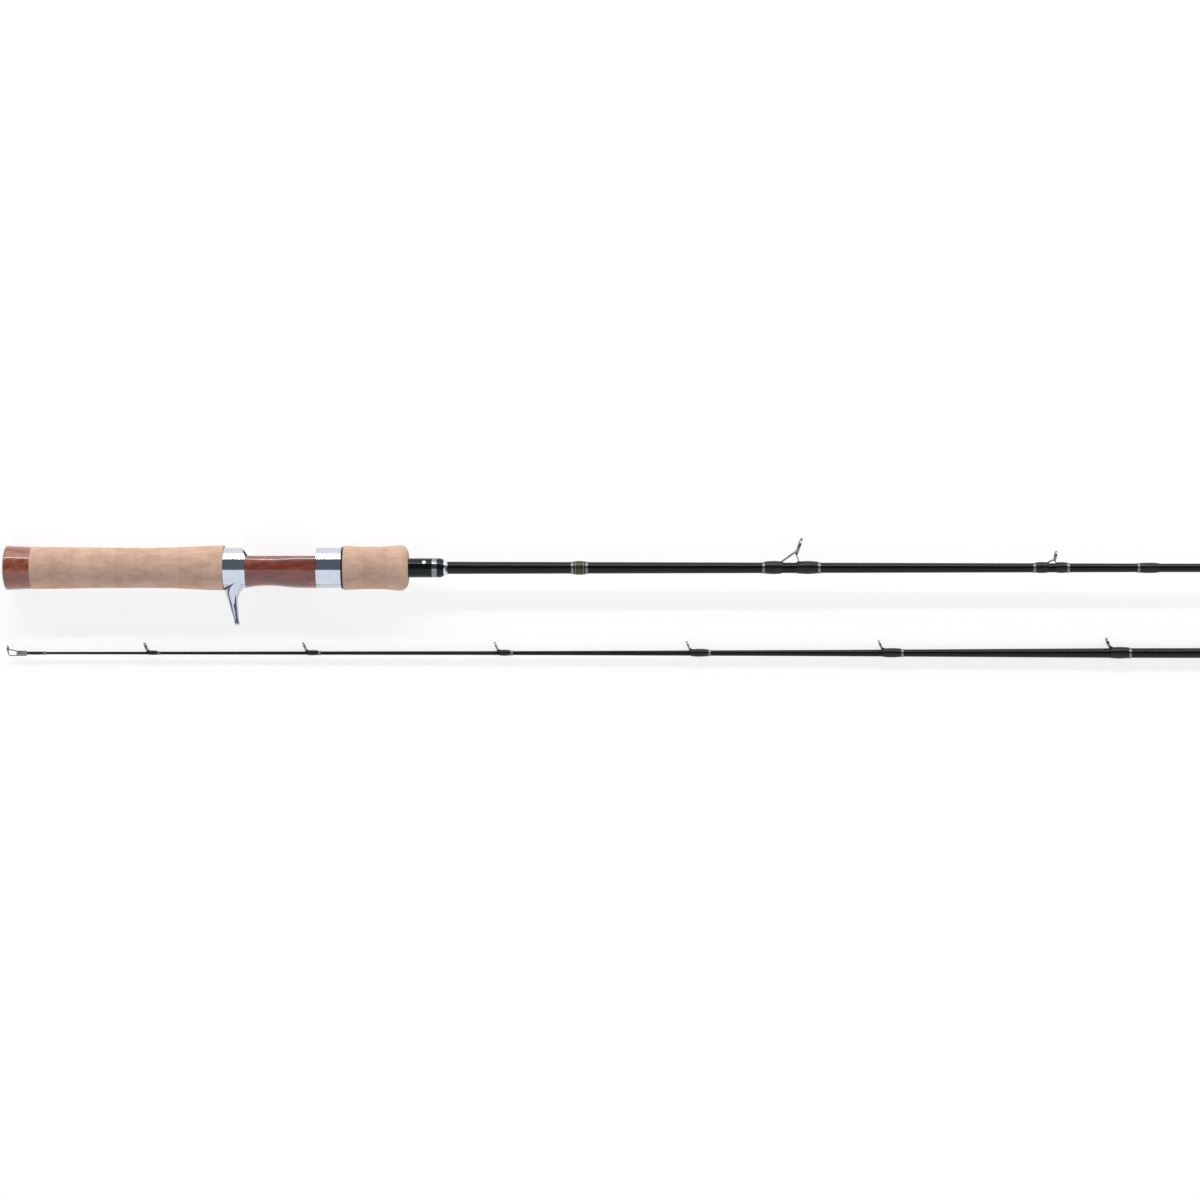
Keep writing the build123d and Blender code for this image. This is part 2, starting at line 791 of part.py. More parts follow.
def double_foot_guide(
    name,
    ring_station,
    ring_height,
    ring_radius,
    lean,
    rim,
    rim_thickness,
    bead_radius,
    strap_width,
    leg_radius,
    leg_turn,
    rear_wrap,
    front_wrap,
    crown,
):
    """Each wrap is given as where it starts and ends, counted from the ring's station."""
    side = butt_side
    face = ring_face(side, ring_station, ring_height, lean)
    bead_centre = ring_radius - rim - bead_radius * 0.6
    rear_start, rear_end = (ring_station + offset for offset in rear_wrap)
    front_start, front_end = (ring_station + offset for offset in front_wrap)
    rear_seat = radius_at(butt_taper, rear_start)
    front_seat = radius_at(butt_taper, front_start - strap_bend_radius)
    neck_x, neck_y, _ = point_on_rim(ring_station, ring_height, lean, ring_radius - rim / 2, 0)
    half_strap = strap_thickness / 2

    with BuildPart() as frame:
        guide_rim(face, ring_radius, rim, rim_thickness)
        # Front strap: down from the ring, then forward along the blank
        with BuildLine(side) as strap_path:
            FilletPolyline(
                (neck_x, neck_y, 0),
                (neck_x + (neck_y - front_seat) * 0.35, front_seat + half_strap, 0),
                (front_end - foot_inset, front_seat + half_strap, 0),
                radius=strap_bend_radius,
            )
        with BuildSketch(Plane(strap_path.line @ 0, x_dir=side.z_dir, z_dir=strap_path.line % 0)):
            RectangleRounded(strap_width, strap_thickness, strap_thickness * 0.3)
        sweep(path=strap_path.line)
        # Rear foot: a flat strap that thins towards its end
        with BuildSketch(side):
            with BuildLine():
                Polyline(
                    (rear_start + foot_inset, rear_seat),
                    (rear_start + foot_inset, rear_seat + strap_tip_thickness),
                    (rear_start + foot_inset + strap_tip_length, rear_seat + strap_thickness),
                    (rear_end, rear_seat + strap_thickness),
                    (rear_end + strap_thickness, rear_seat + strap_thickness * 0.6),
                    (rear_end + strap_thickness, rear_seat),
                    close=True,
                )
            make_face()
        extrude(amount=strap_width / 2, both=True)
        # Rear legs: from the foot out to the sides of the ring
        leg_x, leg_y, leg_z = point_on_rim(
            ring_station, ring_height, lean, ring_radius - rim / 2, leg_turn
        )
        foot_spread = strap_width / 2 - leg_radius
        for way in (-1, 1):
            guide_leg(
                side,
                (rear_end - leg_radius, rear_seat + half_strap, way * foot_spread),
                (leg_x, leg_y, way * leg_z),
                leg_radius,
            )
        ring_seat(face, bead_centre, bead_radius, rim_thickness)
    save(frame.part, f"{name}_frame")
    guide_ring(f"{name}_ring", face, bead_centre, bead_radius)

    wraps = []
    for start, end in ((rear_start, rear_end), (front_start, front_end)):
        wraps.append(thread_wrap(side, butt_taper, start, end, crown, frame.part))
    save(Compound(children=wraps), f"{name}_wraps")
    band_starts = [rear_start - band_length, front_end]
    thread_bands(f"{name}_bands", side, butt_taper, band_starts)


double_foot_guide(
    "stripper_guide",
    ring_station=closed_length * stripper_ring_share,
    ring_height=stripper_ring_height,
    ring_radius=stripper_ring_radius,
    lean=stripper_lean,
    rim=0.85,
    rim_thickness=1.4,
    bead_radius=0.6,
    strap_width=2.2,
    leg_radius=0.55,
    leg_turn=63.0,
    rear_wrap=(-20.1, -9.9),
    front_wrap=(-1.4, 11.1),
    crown=0.62,
)
double_foot_guide(
    "second_guide",
    ring_station=closed_length * second_ring_share,
    ring_height=second_ring_height,
    ring_radius=second_ring_radius,
    lean=second_lean,
    rim=0.65,
    rim_thickness=1.1,
    bead_radius=0.44,
    strap_width=1.7,
    leg_radius=0.42,
    leg_turn=48.0,
    rear_wrap=(-11.7, -4.4),
    front_wrap=(0.3, 6.7),
    crown=0.45,
)

# Guides on the tip section: the ring stands straight on the end of one strap


def single_foot_guide(name, foot_share, foot_length, ring_radius, crown):
    side = tip_side
    foot_front = closed_length * foot_share
    foot_rear = foot_front - foot_length
    seat = radius_at(tip_taper, foot_rear)
    lean = radians(single_lean)
    lift = ring_foot_gap + ring_radius * cos(lean)
    ring_station = foot_front + ring_radius * sin(lean) + single_rim / 2
    ring_height = seat + lift
    face = ring_face(side, ring_station, ring_height, single_lean)
    bead_centre = ring_radius - single_rim - single_bead_radius * 0.6
    brace_end = point_on_rim(
        ring_station, ring_height, single_lean, ring_radius - single_rim / 2, single_brace_turn
    )

    with BuildPart() as frame:
        guide_rim(face, ring_radius, single_rim, single_rim_thickness)
        with BuildSketch(side):
            with BuildLine():
                Polyline(
                    (foot_rear + foot_inset, seat),
                    (foot_rear + foot_inset, seat + strap_tip_thickness),
                    (foot_rear + foot_inset + strap_tip_length, seat + strap_thickness),
                    (foot_front + single_rim, seat + strap_thickness),
                    (foot_front + single_rim * 1.6, seat),
                    close=True,
                )
            make_face()
        extrude(amount=single_strap_width / 2, both=True)
        for way in (-1, 1):
            guide_leg(
                side,
                (foot_front - single_brace_reach, seat + strap_thickness / 2, way * single_brace_radius),
                (brace_end[0], brace_end[1], way * brace_end[2]),
                single_brace_radius,
            )
        ring_seat(face, bead_centre, single_bead_radius, single_rim_thickness)
    save(frame.part, f"{name}_frame")
    guide_ring(f"{name}_ring", face, bead_centre, single_bead_radius)
    save(thread_wrap(side, tip_taper, foot_rear, foot_front, crown, frame.part), f"{name}_wrap")


for number, sizes in enumerate(single_guides, start=3):
    single_foot_guide(f"guide_{number}", *sizes)

thread_bands(
    "tip_guide_bands",
    tip_side,
    tip_taper,
    [closed_length * share - length - band_length for share, length, _, _ in single_guides],
)

# Tip-top: a tube glued over the end of the tip, with wires that carry the last ring

tip_tube_end = tip_blank_length + tip_top_tube_overhang
tip_tube_start = tip_tube_end - tip_top_tube_length
tip_tube_bore = radius_at(tip_taper, tip_tube_start) + glue_line
tip_tube_radius = tip_tube_bore + tip_top_tube_wall
tip_ring_station = tip_tube_end + tip_top_ring_reach
tip_wrap_start = tip_tube_start - tip_top_wrap_length

tube(
    "tip_top_tube",
    tip_side,
    [(tip_tube_start, tip_tube_bore), (tip_tube_end, tip_tube_bore)],
    [(tip_tube_start, tip_tube_radius), (tip_tube_end, tip_tube_radius)],
)
tip_face = ring_face(tip_side, tip_ring_station, tip_top_ring_height, tip_top_ring_lean)
tip_bead_centre = tip_top_ring_radius - tip_top_rim - tip_top_bead_radius * 0.6
wire_ring_radius = tip_top_ring_radius - tip_top_rim / 2
wire_stand = tip_tube_radius + tip_top_wire_radius + glue_line

with BuildPart() as tip_top_frame:
    guide_rim(tip_face, tip_top_ring_radius, tip_top_rim, tip_top_rim_thickness)
    # Two wires run back from the sides of the ring to lie along the tube, and meet over it
    ring_hold = point_on_rim(
        tip_ring_station, tip_top_ring_height, tip_top_ring_lean, wire_ring_radius, 88.0
    )
    for way in (-1, 1):
        with BuildLine(tip_side) as side_wire:
            FilletPolyline(
                (ring_hold[0], ring_hold[1], way * ring_hold[2]),
                (tip_tube_end, wire_stand * 0.82, way * wire_stand * 0.57),
                (tip_tube_start, wire_stand * 0.82, way * wire_stand * 0.57),
                radius=2.0,
            )
        with BuildSketch(Plane(origin=side_wire.line @ 0, z_dir=side_wire.line % 0)):
            Circle(tip_top_wire_radius)
        sweep(path=side_wire.line)
    # A third wire comes down from the bottom of the ring and runs back under the tube
    ring_bottom = point_on_rim(
        tip_ring_station, tip_top_ring_height, tip_top_ring_lean, wire_ring_radius, 0
    )
    with BuildLine(tip_side) as lower_wire:
        FilletPolyline(
            (ring_bottom[0], ring_bottom[1], 0),
            (ring_bottom[0] - 0.6, -wire_stand, 0),
            (tip_tube_start, -wire_stand, 0),
            radius=0.9,
        )
    with BuildSketch(Plane(origin=lower_wire.line @ 0, z_dir=lower_wire.line % 0)):
        Circle(tip_top_wire_radius)
    sweep(path=lower_wire.line)
    ring_seat(tip_face, tip_bead_centre, tip_top_bead_radius, tip_top_rim_thickness)
save(tip_top_frame.part, "tip_top_frame")
guide_ring("tip_top_ring", tip_face, tip_bead_centre, tip_top_bead_radius)
save(
    thread_wrap(tip_side, tip_taper, tip_wrap_start, tip_tube_start, tip_top_wrap_crown),
    "tip_top_wrap",
)
thread_bands("tip_top_band", tip_side, tip_taper, [tip_wrap_start - band_length])
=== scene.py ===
import math

import bpy
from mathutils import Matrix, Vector


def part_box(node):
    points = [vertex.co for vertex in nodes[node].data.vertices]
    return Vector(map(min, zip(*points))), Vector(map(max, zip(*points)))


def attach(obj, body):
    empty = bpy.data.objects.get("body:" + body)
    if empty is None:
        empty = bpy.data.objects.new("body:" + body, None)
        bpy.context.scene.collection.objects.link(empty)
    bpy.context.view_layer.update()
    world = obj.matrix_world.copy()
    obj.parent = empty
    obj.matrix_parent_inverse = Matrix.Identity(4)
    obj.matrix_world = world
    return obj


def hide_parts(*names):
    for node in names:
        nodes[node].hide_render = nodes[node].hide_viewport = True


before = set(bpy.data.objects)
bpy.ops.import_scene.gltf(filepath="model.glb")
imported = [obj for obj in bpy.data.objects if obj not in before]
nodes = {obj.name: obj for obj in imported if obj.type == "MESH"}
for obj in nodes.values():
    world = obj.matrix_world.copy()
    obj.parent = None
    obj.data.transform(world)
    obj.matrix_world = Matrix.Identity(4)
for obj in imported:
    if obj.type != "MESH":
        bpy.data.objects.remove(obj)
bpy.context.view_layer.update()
print("frame loaded:", len(nodes), "nodes")

# The two sections lie along X. Every round piece is centred on one of these axes.
buttLow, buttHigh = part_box("butt_blank")
tipLow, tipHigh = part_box("tip_blank")
buttAxis = (buttLow + buttHigh) / 2
tipAxis = (tipLow + tipHigh) / 2
mm = 0.001


# Materials: small helpers first, then one function per finish
def startMaterial(name):
    material = bpy.data.materials.new(name)
    material.use_nodes = True
    shader = material.node_tree.nodes["Principled BSDF"]
    return material, material.node_tree, shader


def addNode(tree, kind, inputs=None, **settings):
    node = tree.nodes.new(kind)
    for key, value in settings.items():
        setattr(node, key, value)
    for key, value in (inputs or {}).items():
        if isinstance(value, bpy.types.NodeSocket):
            tree.links.new(value, node.inputs[key])
        else:
            node.inputs[key].default_value = value
    return node


def placed(tree, centre=(0, 0, 0), scale=(1, 1, 1)):
    # the pattern's own place: metres from the centre, times the scale
    coords = addNode(tree, "ShaderNodeTexCoord")
    back = [-c for c in centre]
    moved = addNode(tree, "ShaderNodeMapping", {"Vector": coords.outputs["Object"], "Location": back})
    sized = addNode(tree, "ShaderNodeMapping", {"Vector": moved.outputs["Vector"], "Scale": scale})
    return sized.outputs["Vector"]


def noise(tree, vector, detail=3.0, rough=0.55, distort=0.0):
    settings = {"Vector": vector, "Scale": 1.0, "Detail": detail, "Roughness": rough, "Distortion": distort}
    return addNode(tree, "ShaderNodeTexNoise", settings).outputs["Fac"]


def ramp(tree, factor, stops, between="LINEAR"):
    node = addNode(tree, "ShaderNodeValToRGB", {"Fac": factor})
    node.color_ramp.interpolation = between
    elements = node.color_ramp.elements
    while len(elements) < len(stops):
        elements.new(0.5)
    for element, (place, colour) in zip(elements, stops):
        element.position = place
        element.color = (*colour, 1.0)
    return node.outputs["Color"]


def mapRange(tree, value, low, high, toLow, toHigh):
    node = addNode(tree, "ShaderNodeMapRange",
                   {"Value": value, "From Min": low, "From Max": high, "To Min": toLow, "To Max": toHigh})
    return node.outputs["Result"]


def maths(tree, operation, *values):
    node = addNode(tree, "ShaderNodeMath", operation=operation)
    for index, value in enumerate(values):
        if isinstance(value, bpy.types.NodeSocket):
            tree.links.new(value, node.inputs[index])
        else:
            node.inputs[index].default_value = value
    return node.outputs["Value"]


def mixColour(tree, factor, first, second, blend="MIX"):
    node = addNode(tree, "ShaderNodeMix", data_type="RGBA", blend_type=blend)
    for index, value in ((0, factor), (6, first), (7, second)):  # 6 and 7 are the colour sockets
        if isinstance(value, bpy.types.NodeSocket):
            tree.links.new(value, node.inputs[index])
        elif isinstance(value, (int, float)):
            node.inputs[index].default_value = value
        else:
            node.inputs[index].default_value = (*value, 1.0)
    return node.outputs[2]


def bump(tree, shader, height, distance, strength=1.0):
    node = addNode(tree, "ShaderNodeBump", {"Height": height, "Distance": distance, "Strength": strength})
    tree.links.new(node.outputs["Normal"], shader.inputs["Normal"])


def alongX(tree, vector):
    return addNode(tree, "ShaderNodeSeparateXYZ", {"Vector": vector}).outputs["X"]


def threadRidge(tree, pitch):
    # one rounded ridge for each turn of thread along X
    turn = maths(tree, "FRACT", alongX(tree, placed(tree, (0, 0, 0), (1 / pitch, 1, 1))))
    return maths(tree, "SINE", maths(tree, "MULTIPLY", turn, math.pi))


corkLook = {
    "pale": (0.66, 0.45, 0.335),
    "mid": (0.59, 0.385, 0.28),
    "dark": (0.50, 0.315, 0.22),
    "pit": (0.15, 0.07, 0.04),
    "joint": (0.46, 0.27, 0.17),
    "jointWidth": 0.10 * mm,
    "jointDarkness": 0.75,
    "bandDarkness": 0.35,
    "pitDarkness": 0.62,
    "bumpDepth": 0.15 * mm,
    "roughness": 0.82,
}


def corkMaterial(name, start, ringLength):
    material, tree, shader = startMaterial(name)
    look = corkLook
    centre = (start, buttAxis.y, buttAxis.z)
    cloud = noise(tree, placed(tree, centre, (110, 260, 260)), 4.0, 0.6, 0.4)
    colour = ramp(tree, cloud, [(0.30, look["dark"]), (0.50, look["mid"]), (0.72, look["pale"])])
    # each ring is cut from its own piece of bark
    along = alongX(tree, placed(tree, centre, (1 / ringLength, 1, 1)))
    ring = maths(tree, "FLOOR", along)
    ringTone = addNode(tree, "ShaderNodeTexWhiteNoise", {"W": ring}, noise_dimensions="1D").outputs["Value"]
    tint = ramp(tree, ringTone, [(0.0, (0.955, 0.935, 0.925)), (1.0, (1.03, 1.02, 1.01))])
    colour = mixColour(tree, 1.0, colour, tint, "MULTIPLY")
    # growth bands run across the rings, and short dark pores run along them
    bands = noise(tree, placed(tree, centre, (900, 60, 60)), 2.0, 0.5)
    bandMask = mapRange(tree, bands, 0.55, 0.75, 0.0, look["bandDarkness"])
    colour = mixColour(tree, bandMask, colour, look["dark"])
    pores = noise(tree, placed(tree, centre, (420, 1500, 1500)), 2.0, 0.5, 0.3)
    poreMask = mapRange(tree, pores, 0.70, 0.75, 0.0, 1.0)
    speck = addNode(tree, "ShaderNodeTexVoronoi",
                    {"Vector": placed(tree, centre, (700, 900, 900)), "Scale": 1.0}).outputs["Distance"]
    speckMask = mapRange(tree, speck, 0.05, 0.17, 0.7, 0.0)
    pitMask = maths(tree, "MAXIMUM", poreMask, speckMask)
    colour = mixColour(tree, maths(tree, "MULTIPLY", pitMask, look["pitDarkness"]), colour, look["pit"])
    # glue line between rings
    toJoint = maths(tree, "PINGPONG", along, 0.5)
    jointShare = look["jointWidth"] / ringLength * 2
    jointMask = mapRange(tree, toJoint, 0.0, jointShare, look["jointDarkness"], 0.0)
    colour = mixColour(tree, jointMask, colour, look["joint"])
    tree.links.new(colour, shader.inputs["Base Color"])
    shader.inputs["Roughness"].default_value = look["roughness"]
    shader.inputs["Specular IOR Level"].default_value = 0.3
    height = maths(tree, "SUBTRACT", maths(tree, "MULTIPLY", cloud, 0.5), pitMask)
    bump(tree, shader, height, look["bumpDepth"], 0.7)
    return material


seatLook = {
    "dark": (0.105, 0.013, 0.005),
    "mid": (0.205, 0.032, 0.011),
    "light": (0.34, 0.074, 0.026),
    "varnish": 1.0,
    "varnishRoughness": 0.06,
}
capLook = {
    "dark": (0.145, 0.026, 0.009),
    "mid": (0.27, 0.055, 0.019),
    "light": (0.40, 0.105, 0.035),
    "varnish": 1.0,
    "varnishRoughness": 0.06,
}


def woodMaterial(name, look, figure):
    # figure stretches the grain along the piece
    material, tree, shader = startMaterial(name)
    waves = noise(tree, placed(tree, tuple(buttAxis), figure), 5.0, 0.62, 1.6)
    colour = ramp(tree, waves, [(0.32, look["dark"]), (0.52, look["mid"]), (0.74, look["light"])])
    grain = noise(tree, placed(tree, tuple(buttAxis), (260, 2600, 2600)), 2.0, 0.5)
    colour = mixColour(tree, mapRange(tree, grain, 0.56, 0.70, 0.0, 0.55), colour, look["dark"])
    tree.links.new(colour, shader.inputs["Base Color"])
    tree.links.new(mapRange(tree, waves, 0.3, 0.7, 0.30, 0.42), shader.inputs["Roughness"])
    shader.inputs["Coat Weight"].default_value = look["varnish"]
    shader.inputs["Coat Roughness"].default_value = look["varnishRoughness"]
    bump(tree, shader, grain, 0.02 * mm, 0.25)
    return material


def metalMaterial(name, colour, deep, roughLow, roughHigh, lines, depth):
    # lines: scale of the fine polishing marks along X, Y and Z
    material, tree, shader = startMaterial(name)
    cloud = noise(tree, placed(tree, tuple(buttAxis), (180, 180, 180)), 3.0)
    marks = noise(tree, placed(tree, tuple(buttAxis), lines), 3.0, 0.6)
    tree.links.new(ramp(tree, cloud, [(0.35, deep), (0.65, colour)]), shader.inputs["Base Color"])
    shader.inputs["Metallic"].default_value = 1.0
    rough = maths(tree, "ADD", maths(tree, "MULTIPLY", cloud, 0.5), maths(tree, "MULTIPLY", marks, 0.5))
    tree.links.new(mapRange(tree, rough, 0.35, 0.65, roughLow, roughHigh), shader.inputs["Roughness"])
    bump(tree, shader, marks, depth, 0.35)
    return material


def glossMaterial(name, colour, fleck, grainScale, roughLow=0.05, roughHigh=0.11, coat=0.12):
    material, tree, shader = startMaterial(name)
    grain = noise(tree, placed(tree, tuple(buttAxis), grainScale), 4.0, 0.6)
    tree.links.new(ramp(tree, grain, [(0.40, colour), (0.72, fleck)]), shader.inputs["Base Color"])
    tree.links.new(mapRange(tree, grain, 0.3, 0.7, roughLow, roughHigh), shader.inputs["Roughness"])
    shader.inputs["Specular IOR Level"].default_value = 0.2
    shader.inputs["Coat Weight"].default_value = coat
    shader.inputs["Coat Roughness"].default_value = 0.04
    swell = noise(tree, placed(tree, tuple(buttAxis), (60, 420, 420)), 2.0)
    bump(tree, shader, swell, 0.01 * mm, 0.2)
    return material


def threadMaterial(name, stops, pitch, metallic, coat, roughness):
    # turns of thread across X, seen through clear epoxy; the colour goes darker between the turns, painted
    # shade in the grooves, mixed with random blotches
    material, tree, shader = startMaterial(name)
    ridge = threadRidge(tree, pitch)
    blotch = noise(tree, placed(tree, (0, 0, 0), (500, 900, 900)), 3.0)
    shade = maths(tree, "ADD", maths(tree, "MULTIPLY", ridge, 0.6), maths(tree, "MULTIPLY", blotch, 0.4))
    tree.links.new(ramp(tree, shade, stops), shader.inputs["Base Color"])
    rough = mapRange(tree, blotch, 0.3, 0.7, roughness * 0.8, roughness * 1.2)
    tree.links.new(rough, shader.inputs["Roughness"])
    shader.inputs["Metallic"].default_value = metallic
    shader.inputs["Specular IOR Level"].default_value = 0.25
    shader.inputs["Coat Weight"].default_value = coat
    shader.inputs["Coat Roughness"].default_value = 0.05
    bump(tree, shader, ridge, pitch * 0.25, 0.4)
    return material


decorLook = {
    "black": (0.010, 0.010, 0.010),
    "gold": (0.30, 0.22, 0.07),
    "olive": (0.060, 0.050, 0.022),
    # the near-black colour laid between the turns of thread is painted shade
    "grooveShade": (0.01, 0.009, 0.007),
    "pitch": 0.22 * mm,
}


def decorMaterial(name, start, length):
    # black thread with two gold trims and an olive middle, by share of the wrap's length
    material, tree, shader = startMaterial(name)
    look = decorLook
    share = alongX(tree, placed(tree, (start, 0, 0), (1 / length, 1, 1)))
    black, gold, olive = look["black"], look["gold"], look["olive"]
    stops = [(0.0, black), (0.16, gold), (0.22, black), (0.36, olive), (0.64, black), (0.78, gold)]
    colour = ramp(tree, share, stops + [(0.84, black)], "CONSTANT")
    ridge = threadRidge(tree, look["pitch"])
    # painted shade: near-black mixed in between the turns of thread, strongest at each turn's edge
    shaded = mixColour(tree, mapRange(tree, ridge, 0.0, 0.5, 0.55, 0.0), colour, look["grooveShade"])
    tree.links.new(shaded, shader.inputs["Base Color"])
    shader.inputs["Metallic"].default_value = 0.55
    shader.inputs["Roughness"].default_value = 0.32
    shader.inputs["Coat Weight"].default_value = 0.3
    shader.inputs["Coat Roughness"].default_value = 0.05
    bump(tree, shader, ridge, 0.05 * mm, 0.4)
    return material


rearRings = 9
foreRings = 3


def spanX(nodeName):
    low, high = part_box(nodeName)
    return low.x, high.x - low.x


gripStart, gripLength = spanX("rear_grip")
foreStart, foreLength = spanX("fore_grip")

# Gloss and metal finishes: two colours, then how rough, how the pattern is stretched and its depth
finishes = {
    "rearCork": corkMaterial("rearCork", gripStart, gripLength / rearRings),
    "foreCork": corkMaterial("foreCork", foreStart, foreLength / foreRings),
    "capWood": woodMaterial("capWood", capLook, (90, 150, 150)),
    "seatWood": woodMaterial("seatWood", seatLook, (70, 190, 190)),
    "polishedAluminium": metalMaterial("polishedAluminium", (0.64, 0.67, 0.73), (0.58, 0.61, 0.67),
                                       0.05, 0.10, (2500, 300, 300), 0.004 * mm),
    "barrelTrim": metalMaterial("barrelTrim", (0.34, 0.34, 0.35), (0.22, 0.22, 0.23),
                                0.12, 0.24, (6000, 300, 300), 0.008 * mm),
    "silverTrim": metalMaterial("silverTrim", (0.85, 0.86, 0.88), (0.72, 0.73, 0.75),
                                0.10, 0.20, (4000, 300, 300), 0.004 * mm),
    "nutAluminium": metalMaterial("nutAluminium", (0.12, 0.12, 0.13), (0.08, 0.08, 0.09),
                                  0.25, 0.40, (4000, 300, 300), 0.01 * mm),
    "springSteel": metalMaterial("springSteel", (0.60, 0.61, 0.63), (0.45, 0.46, 0.48),
                                 0.20, 0.35, (900, 900, 900), 0.01 * mm),
    "guideSteel": metalMaterial("guideSteel", (0.30, 0.30, 0.31), (0.18, 0.18, 0.19),
                                0.14, 0.26, (1500, 1500, 1500), 0.01 * mm),
    "guideCeramic": glossMaterial("guideCeramic", (0.045, 0.045, 0.05), (0.09, 0.09, 0.10),
                                  (900, 900, 900), 0.05, 0.10),
    "blankGloss": glossMaterial("blankGloss", (0.002, 0.002, 0.002), (0.007, 0.007, 0.008),
                                (60, 2200, 2200)),
    "barrelGloss": glossMaterial("barrelGloss", (0.002, 0.003, 0.003), (0.006, 0.008, 0.008),
                                 (500, 900, 900)),
    "washerBlack": glossMaterial("washerBlack", (0.012, 0.011, 0.011), (0.03, 0.028, 0.027),
                                 (900, 900, 900), 0.4, 0.6, 0.0),
    "arborFoam": glossMaterial("arborFoam", (0.40, 0.38, 0.33), (0.55, 0.53, 0.47),
                               (1500, 1500, 1500), 0.8, 0.9, 0.0),
    # the first colour of each thread finish is the painted groove shade between the turns
    "blackThread": threadMaterial("blackThread", [(0.15, (0.002, 0.002, 0.002)),
                                                  (0.85, (0.010, 0.010, 0.011))], 0.2 * mm, 0.0, 0.15, 0.3),
    "silverThread": threadMaterial("silverThread", [(0.15, (0.05, 0.05, 0.05)),
                                                    (0.75, (0.27, 0.265, 0.255))], 0.28 * mm, 0.85, 0.3, 0.3),
    "decorThread": decorMaterial("decorThread", *spanX("decor_wrap")),
}
print("finishes made:", len(finishes))

dressing = {
    "butt_cap": "capWood", "seat_body": "seatWood",
    "rear_grip": "rearCork", "fore_grip": "foreCork",
    "rear_hood": "polishedAluminium", "front_hood": "polishedAluminium",
    "barrel": "barrelGloss", "barrel_band": "barrelTrim", "barrel_pin": "silverTrim",
    "winding_check": "silverTrim", "barrel_arbors": "arborFoam",
    "lock_nut": "nutAluminium", "hood_clip": "springSteel", "thrust_washer": "washerBlack",
    "butt_blank": "blankGloss", "tip_blank": "blankGloss",
    "decor_wrap": "decorThread", "tip_top_tube": "guideSteel",
}
endings = {
    "_frame": "guideSteel", "_ring": "guideCeramic", "_band": "silverThread", "_bands": "silverThread",
    "_wrap": "blackThread", "_wraps": "blackThread", "_collar": "blackThread",
}
for name, node in nodes.items():
    chosen = dressing.get(name) or next(f for end, f in endings.items() if name.endswith(end))
    node.data.materials.clear()
    node.data.materials.append(finishes[chosen])
print("nodes dressed:", len(nodes))


# The two cork grips, with the joints between their rings and the fine pits of turned cork
gripShape = {
    "around": 80,
    "ringSteps": 16,
    "jointHalfWidth": 0.12 * mm,
    "jointDepth": 0.07 * mm,
    "pitSize": 1.1 * mm,
    "pitDepth": 0.06 * mm,
    "smoothAngle": 40,
    "edge": 0.02 * mm,
    "mergeWithin": 0.001 * mm,
    "lookFrom": 0.1,
}


def radiusOf(node, station, fromHeight, way):
    # looks up or down at the piece's own wall, from a height above its axis
    turned = node.matrix_world.inverted()
    start = turned @ Vector((station, buttAxis.y, buttAxis.z + fromHeight))
    _, place, _, _ = node.ray_cast(start, turned.to_3x3() @ Vector((0, 0, way)))
    return (node.matrix_world @ place).z - buttAxis.z


def outsideRadius(node, station):
    return radiusOf(node, station, gripShape["lookFrom"], -1)


def boreRadius(node, station):
    return radiusOf(node, station, 0, 1)


def pullRing(fromStation, toStation, fromRadius, toRadius):
    # the ring of edges picked now becomes the next ring along
    bpy.ops.mesh.extrude_region_move(TRANSFORM_OT_translate={"value": (toStation - fromStation, 0, 0)})
    share = toRadius / fromRadius
    bpy.ops.transform.resize(value=(1, share, share), center_override=(toStation, buttAxis.y, buttAxis.z))


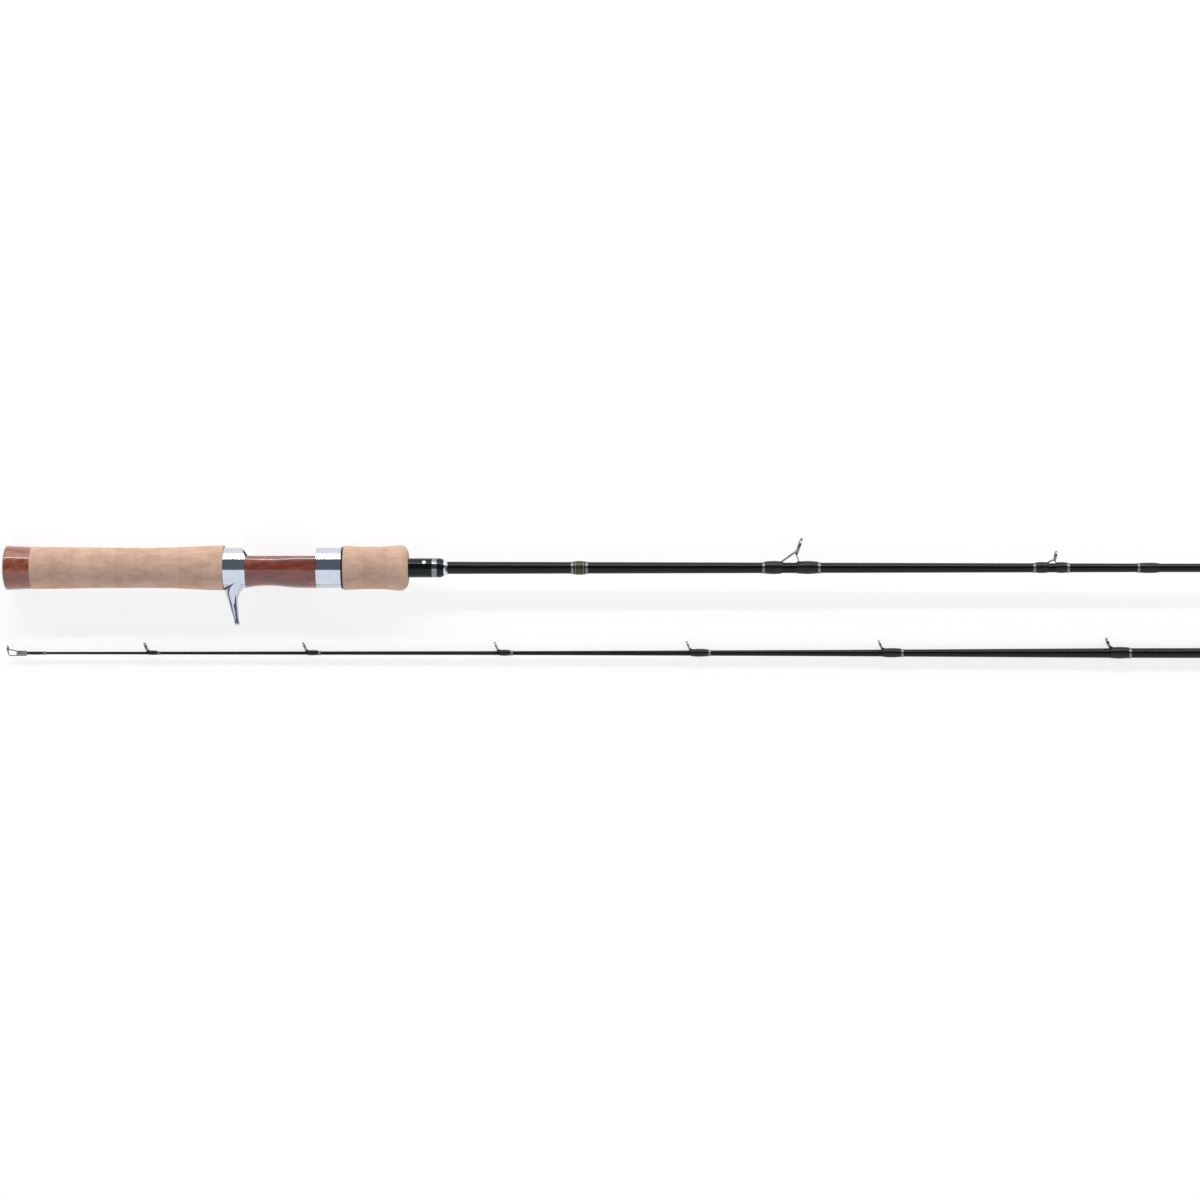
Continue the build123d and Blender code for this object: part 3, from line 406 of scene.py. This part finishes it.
def addGrip(name, nodeName, rings, body, finish):
    shape = gripShape
    node = nodes[nodeName]
    low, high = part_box(nodeName)
    ringLength = (high.x - low.x) / rings
    edge = shape["edge"]
    half = shape["jointHalfWidth"]
    path = [(low.x, boreRadius(node, low.x + edge))]
    for ring in range(rings):
        start, end = low.x + ring * ringLength, low.x + (ring + 1) * ringLength
        first = start + (half if ring else 0)
        last = end - (half if ring < rings - 1 else 0)
        for step in range(shape["ringSteps"] + 1):
            share = 0.5 - 0.5 * math.cos(math.pi * step / shape["ringSteps"])  # closest near the joints
            station = first + (last - first) * share
            sample = min(max(station, low.x + edge), high.x - edge)
            path.append((station, outsideRadius(node, sample)))
        if ring < rings - 1:
            path.append((end, outsideRadius(node, end) - shape["jointDepth"]))
    path.append((high.x, boreRadius(node, high.x - edge)))
    path.append(path[0])
    place = (low.x, buttAxis.y, buttAxis.z)
    turn = (0, math.pi / 2, 0)
    bpy.ops.object.select_all(action="DESELECT")
    bpy.ops.mesh.primitive_circle_add(vertices=shape["around"], radius=path[0][1],
                                      rotation=turn, location=place)
    grip = bpy.context.active_object
    grip.name = name
    bpy.ops.object.transform_apply(location=True, rotation=True, scale=True)
    bpy.ops.object.mode_set(mode="EDIT")
    bpy.ops.mesh.select_mode(type="EDGE")
    bpy.ops.mesh.select_all(action="SELECT")
    for (fromStation, fromRadius), (toStation, toRadius) in zip(path, path[1:]):
        pullRing(fromStation, toStation, fromRadius, toRadius)
    bpy.ops.mesh.select_all(action="SELECT")
    bpy.ops.mesh.remove_doubles(threshold=shape["mergeWithin"])
    bpy.ops.mesh.normals_make_consistent(inside=False)
    bpy.ops.mesh.subdivide(number_cuts=1)
    bpy.ops.object.mode_set(mode="OBJECT")
    pits = bpy.data.textures.new(name + "Pits", "CLOUDS")
    pits.noise_scale = shape["pitSize"]
    displace = grip.modifiers.new("pits", "DISPLACE")
    displace.texture = pits
    displace.mid_level = 1.0  # only ever inwards
    displace.strength = shape["pitDepth"]
    bpy.ops.object.modifier_apply(modifier=displace.name)
    bpy.ops.object.shade_smooth_by_angle(angle=math.radians(shape["smoothAngle"]))
    grip.data.materials.append(finishes[finish])
    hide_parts(nodeName)
    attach(grip, body)
    print(name, "made:", len(grip.data.polygons), "faces")


addGrip("corkRearGrip", "rear_grip", rearRings, "butt_section", "rearCork")
addGrip("corkForeGrip", "fore_grip", foreRings, "fore_grip", "foreCork")

# The studio: pale floor, a softbox and a narrow strip on the guide side, a wide card on the other
studio = {
    "floorSize": 6.0,
    "floorGap": 0.2 * mm,
    "floorColour": (0.36, 0.36, 0.36),
    "floorGlow": 0.72,
    "ambient": (0.13, 0.145, 0.17),
}
# name, place, width, height, power and colour of each light; all of them face the origin
lamps = [
    ("softbox", (0, 1.20, 0.45), 4.0, 0.85, 22.0, (1.0, 1.0, 1.0)),
    ("strip", (0, 1.05, 0.75), 4.0, 0.05, 12.0, (1.0, 1.0, 1.0)),
    ("sideCard", (0, -1.35, 1.00), 4.0, 3.0, 36.0, (0.88, 0.93, 1.0)),
]


def addFloor():
    bpy.ops.mesh.primitive_plane_add(size=studio["floorSize"], location=(0, 0, -studio["floorGap"]))
    floor = bpy.context.active_object
    floor.name = "studioFloor"
    material, tree, shader = startMaterial("studioFloor")
    cloud = noise(tree, placed(tree, (0, 0, 0), (3, 3, 3)))
    pale = studio["floorColour"]
    soft = tuple(c * 0.985 for c in pale)
    tree.links.new(ramp(tree, cloud, [(0.3, soft), (0.7, pale)]), shader.inputs["Base Color"])
    shader.inputs["Roughness"].default_value = 0.9
    shader.inputs["Emission Color"].default_value = (1, 1, 1, 1)
    shader.inputs["Emission Strength"].default_value = studio["floorGlow"]
    floor.data.materials.append(material)


def addLight(name, place, width, height, power, colour):
    light = bpy.data.lights.new(name, "AREA")
    light.shape = "RECTANGLE"
    light.size, light.size_y = width, height
    light.energy = power
    light.color = colour
    lamp = bpy.data.objects.new(name, light)
    bpy.context.scene.collection.objects.link(lamp)
    lamp.location = place
    lamp.rotation_euler = (-Vector(place)).to_track_quat("-Z", "Y").to_euler()


addFloor()
world = bpy.data.worlds.new("studioWorld")
bpy.context.scene.world = world
world.use_nodes = True
sky = world.node_tree.nodes["Background"]
sky.inputs["Color"].default_value = (*studio["ambient"], 1)
sky.inputs["Strength"].default_value = 1.0
for lamp in lamps:
    addLight(*lamp)

# Straight down from above; across is the width seen at the butt section's height
camera = {"height": 2.0, "across": 0.702, "x": -0.0208, "y": buttAxis.y - 0.0188, "sensor": 36.0}
above = (camera["x"], camera["y"], buttAxis.z + camera["height"])
bpy.ops.object.camera_add(location=above, rotation=(0, 0, 0))
shot = bpy.context.active_object
shot.name = "studioCamera"
shot.data.sensor_width = camera["sensor"]
shot.data.lens = shot.data.sensor_width * camera["height"] / camera["across"]
shot.data.clip_start, shot.data.clip_end = 0.05, 20.0
bpy.context.scene.camera = shot
bpy.context.scene.view_settings.view_transform = "Standard"
print("studio set")
